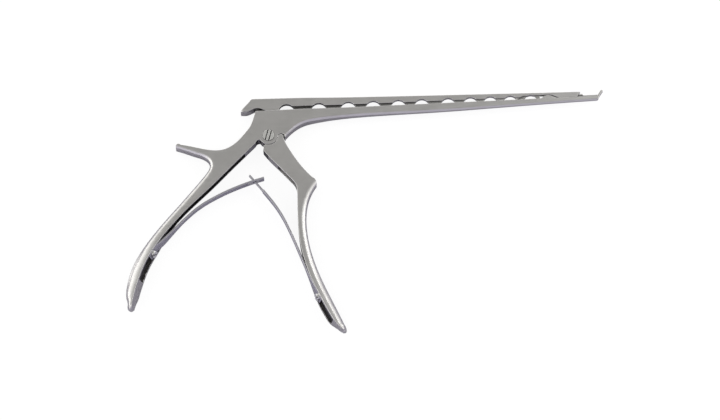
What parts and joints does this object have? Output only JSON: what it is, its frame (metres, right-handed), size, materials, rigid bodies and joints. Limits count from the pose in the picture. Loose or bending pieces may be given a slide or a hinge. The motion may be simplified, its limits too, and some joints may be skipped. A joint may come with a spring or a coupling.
{
  "type": "bone rongeur",
  "caption": "Surgical bone punch with a long sliding shaft, a footplate jaw, a curved rear handle and a spring-returned trigger handle.",
  "frame": {"origin": "pivot axis of the trigger, on the flat side that the tool lies on", "axes": "+X the way the sliding shaft moves, +Y from the handles up to the shaft, +Z through the thickness, out of the side with the pivot screw's head"},
  "size_m": [0.2926, 0.148, 0.0095],
  "materials": {
    "satin_steel": "glass-bead satin stainless steel",
    "bright_screw": "fine-turned bright stainless steel",
    "spring_steel": "polished spring steel"
  },
  "bodies": {
    "frame": {"fixed_shaft": "satin_steel", "pivot_screw": "bright_screw", "rear_spring": "spring_steel", "rear_spring_screw": "bright_screw"},
    "trigger": {"trigger_handle": "satin_steel", "front_spring": "spring_steel", "front_spring_screw": "bright_screw"},
    "slide": {"sliding_shaft": "satin_steel"}
  },
  "joints": [
    {"name": "trigger_pivot", "type": "hinge", "parent": "frame", "child": "trigger", "pos_m": [0, 0, 0], "axis": [0, 0, -1], "range_deg": [0, 35.65], "stiffness_Nm_per_rad": 1.5, "springref_deg": -17.19, "deforming": ["rear_spring", "front_spring"]},
    {"name": "slide_travel", "type": "slide", "parent": "frame", "child": "slide", "axis": [1, 0, 0], "range_m": [0, 0.012]}
  ],
  "couplings": [
    {"joint": "slide_travel", "follows": "trigger_pivot", "m_per_rad": 0.01928}
  ]
}
